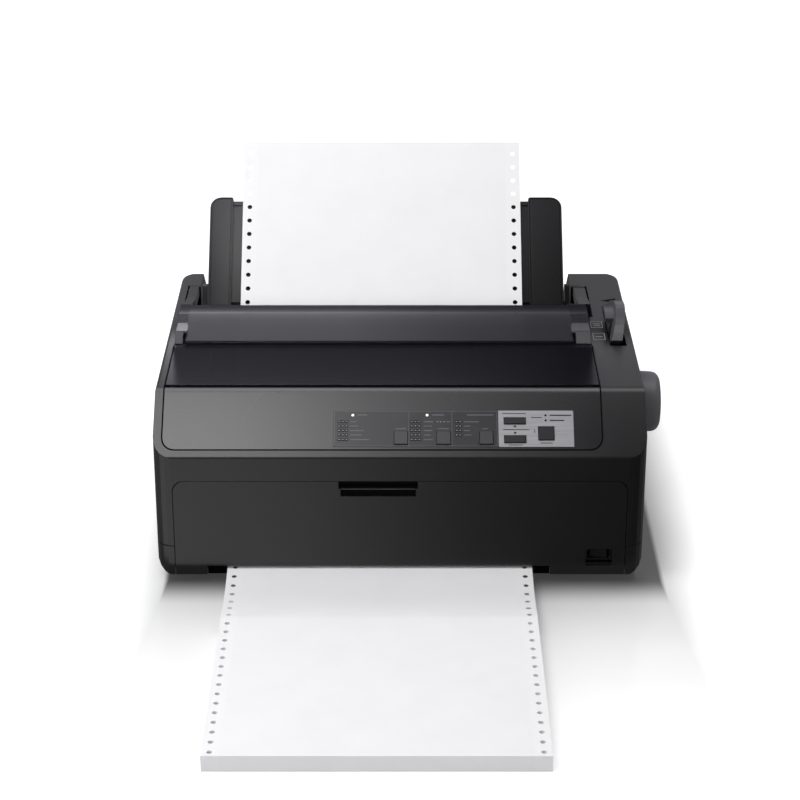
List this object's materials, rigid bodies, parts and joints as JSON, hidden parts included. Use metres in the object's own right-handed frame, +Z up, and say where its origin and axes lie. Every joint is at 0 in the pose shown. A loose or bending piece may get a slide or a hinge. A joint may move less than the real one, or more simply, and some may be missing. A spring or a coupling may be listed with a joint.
{
  "type": "dot matrix printer",
  "caption": "Wide low dot matrix printer with a smoked hinged cover, slanted button panel, front paper slot, leaning sheet guide and continuous paper fed through it.",
  "frame": {"origin": "middle of the ground that the printer and its folded paper cover, at the height of the table", "axes": "+X to the right of a person who faces the front, +Y from the front to the back, +Z up; the front face looks along -Y"},
  "size_m": [0.4084, 0.6154, 0.2628],
  "materials": {
    "case_black": "matte",
    "smoked_plastic": "gloss",
    "dark_plastic": "satin",
    "grey_plastic": "satin",
    "panel_label": "satin",
    "silver_label": "satin",
    "lamp_lens": "gloss",
    "rubber": "matte",
    "steel": "satin",
    "nylon": "satin",
    "board": "satin",
    "motor_metal": "satin",
    "paper": "matte"
  },
  "bodies": {
    "case": {"lower_case": "case_black", "rubber_feet": "rubber", "upper_case": "case_black", "rear_cover": "case_black", "panel_housing": "case_black", "case_screws": "steel", "indicator_lamps": "lamp_lens", "indicator_label": "panel_label", "button_label": "silver_label", "panel_board": "board", "power_switch": "dark_plastic", "platen_bushes": "nylon", "feed_motor": "motor_metal", "side_frame_left": "steel", "side_frame_right": "steel", "base_plate": "steel", "paper_guides": "dark_plastic", "tractor_guide_shaft": "steel", "tractor_left": "dark_plastic", "tractor_right": "dark_plastic", "tractor_belts": "rubber", "carriage_shaft": "steel", "carriage_rail": "steel", "carriage_motor": "motor_metal", "carriage_belt": "rubber", "ribbon_cartridge": "dark_plastic", "main_board": "board", "power_supply": "steel", "power_inlet": "dark_plastic", "fanfold_web": "paper", "fanfold_stack": "paper"},
    "front_cover": {"front_cover": "case_black"},
    "printer_cover": {"cover_window": "smoked_plastic", "cover_rear": "smoked_plastic"},
    "sheet_guide": {"sheet_guide": "case_black"},
    "edge_guide_left": {"edge_guide_left": "case_black"},
    "edge_guide_right": {"edge_guide_right": "case_black"},
    "font_button": {"font_button": "dark_plastic"},
    "pitch_button": {"pitch_button": "dark_plastic"},
    "tear_off_button": {"tear_off_button": "dark_plastic"},
    "line_feed_button": {"line_feed_button": "dark_plastic"},
    "load_button": {"load_button": "dark_plastic"},
    "pause_button": {"pause_button": "dark_plastic"},
    "power_rocker": {"power_rocker": "dark_plastic"},
    "release_lever": {"release_lever": "grey_plastic"},
    "platen": {"platen_shaft": "steel", "platen_roller": "rubber", "platen_gear": "nylon", "platen_knob": "grey_plastic"},
    "idler_gear": {"idler_gear": "nylon"},
    "tractor_drive": {"tractor_drive_shaft": "steel", "tractor_gear": "nylon"},
    "motor_pinion": {"motor_pinion": "steel"},
    "carriage": {"carriage": "dark_plastic", "print_head": "motor_metal"},
    "drive_pulley": {"drive_pulley": "steel"},
    "idler_pulley": {"idler_pulley": "nylon"},
    "tractor_lid_left": {"tractor_lid_left": "grey_plastic"},
    "tractor_lid_right": {"tractor_lid_right": "grey_plastic"},
    "ribbon_knob": {"ribbon_knob": "grey_plastic"}
  },
  "joints": [
    {"name": "front_cover_hinge", "type": "hinge", "parent": "case", "child": "front_cover", "pos_m": [-0.01125, -0.0351, 0.017], "axis": [1, 0, 0], "range_deg": [0, 80]},
    {"name": "printer_cover_hinge", "type": "hinge", "parent": "case", "child": "printer_cover", "pos_m": [-0.01125, 0.2247, 0.147], "axis": [-1, 0, 0], "range_deg": [0, 60]},
    {"name": "sheet_guide_tilt", "type": "hinge", "parent": "case", "child": "sheet_guide", "pos_m": [-0.01125, 0.1947, 0.147], "axis": [-1, 0, 0], "range_deg": [0, 30]},
    {"name": "edge_guide_left_slide", "type": "slide", "parent": "sheet_guide", "child": "edge_guide_left", "axis": [1, 0, 0], "range_m": [0, 0.006]},
    {"name": "edge_guide_right_slide", "type": "slide", "parent": "sheet_guide", "child": "edge_guide_right", "axis": [-1, 0, 0], "range_m": [0, 0.006]},
    {"name": "font_button_press", "type": "slide", "parent": "case", "child": "font_button", "axis": [0, 0.6467, -0.7628], "range_m": [0, 0.0012], "stiffness_N_per_m": 400, "springref_m": -0.002},
    {"name": "pitch_button_press", "type": "slide", "parent": "case", "child": "pitch_button", "axis": [0, 0.6467, -0.7628], "range_m": [0, 0.0012], "stiffness_N_per_m": 400, "springref_m": -0.002},
    {"name": "tear_off_button_press", "type": "slide", "parent": "case", "child": "tear_off_button", "axis": [0, 0.6467, -0.7628], "range_m": [0, 0.0012], "stiffness_N_per_m": 400, "springref_m": -0.002},
    {"name": "line_feed_button_press", "type": "slide", "parent": "case", "child": "line_feed_button", "axis": [0, 0.6467, -0.7628], "range_m": [0, 0.0012], "stiffness_N_per_m": 400, "springref_m": -0.002},
    {"name": "load_button_press", "type": "slide", "parent": "case", "child": "load_button", "axis": [0, 0.6467, -0.7628], "range_m": [0, 0.0012], "stiffness_N_per_m": 400, "springref_m": -0.002},
    {"name": "pause_button_press", "type": "slide", "parent": "case", "child": "pause_button", "axis": [0, 0.6467, -0.7628], "range_m": [0, 0.0012], "stiffness_N_per_m": 400, "springref_m": -0.002},
    {"name": "power_rocker_tilt", "type": "hinge", "parent": "case", "child": "power_rocker", "pos_m": [0.14625, -0.0263, 0.0247], "axis": [0, 0, 1], "range_deg": [0, 14]},
    {"name": "release_lever_turn", "type": "hinge", "parent": "case", "child": "release_lever", "pos_m": [0.16725, 0.1387, 0.117], "axis": [1, 0, 0], "range_deg": [0, 14]},
    {"name": "platen_turn", "type": "hinge", "parent": "case", "child": "platen", "pos_m": [-0.01125, 0.0977, 0.098], "axis": [1, 0, 0], "continuous": true},
    {"name": "idler_turn", "type": "hinge", "parent": "case", "child": "idler_gear", "pos_m": [0.12475, 0.07455, 0.06176], "axis": [1, 0, 0], "continuous": true},
    {"name": "tractor_turn", "type": "hinge", "parent": "case", "child": "tractor_drive", "pos_m": [-0.01125, 0.04752, 0.0365], "axis": [1, 0, 0], "continuous": true},
    {"name": "pinion_turn", "type": "hinge", "parent": "case", "child": "motor_pinion", "pos_m": [0.12475, 0.09771, 0.04431], "axis": [1, 0, 0], "continuous": true},
    {"name": "carriage_slide", "type": "slide", "parent": "case", "child": "carriage", "axis": [1, 0, 0], "range_m": [0, 0.18]},
    {"name": "drive_pulley_turn", "type": "hinge", "parent": "case", "child": "drive_pulley", "pos_m": [0.14975, 0.0287, 0.0885], "axis": [0, 0, 1], "range_deg": [-1725, 5]},
    {"name": "idler_pulley_turn", "type": "hinge", "parent": "case", "child": "idler_pulley", "pos_m": [-0.15925, 0.0287, 0.0885], "axis": [0, 0, 1], "range_deg": [-1725, 5]},
    {"name": "tractor_lid_left_hinge", "type": "hinge", "parent": "case", "child": "tractor_lid_left", "pos_m": [-0.15185, 0.02334, 0.04188], "axis": [0, -0.8938, -0.4485], "range_deg": [0, 110]},
    {"name": "tractor_lid_right_hinge", "type": "hinge", "parent": "case", "child": "tractor_lid_right", "pos_m": [0.09735, 0.02334, 0.04188], "axis": [0, 0.8938, 0.4485], "range_deg": [0, 110]},
    {"name": "ribbon_knob_turn", "type": "hinge", "parent": "case", "child": "ribbon_knob", "pos_m": [-0.12125, 0.0277, 0.125], "axis": [0, 0, 1], "continuous": true}
  ],
  "couplings": [
    {"joint": "idler_turn", "follows": "platen_turn", "ratio": -0.95454},
    {"joint": "tractor_turn", "follows": "platen_turn", "ratio": 1.4},
    {"joint": "pinion_turn", "follows": "platen_turn", "ratio": 3},
    {"joint": "drive_pulley_turn", "follows": "carriage_slide", "rad_per_m": -166.67},
    {"joint": "idler_pulley_turn", "follows": "carriage_slide", "rad_per_m": -166.67}
  ]
}
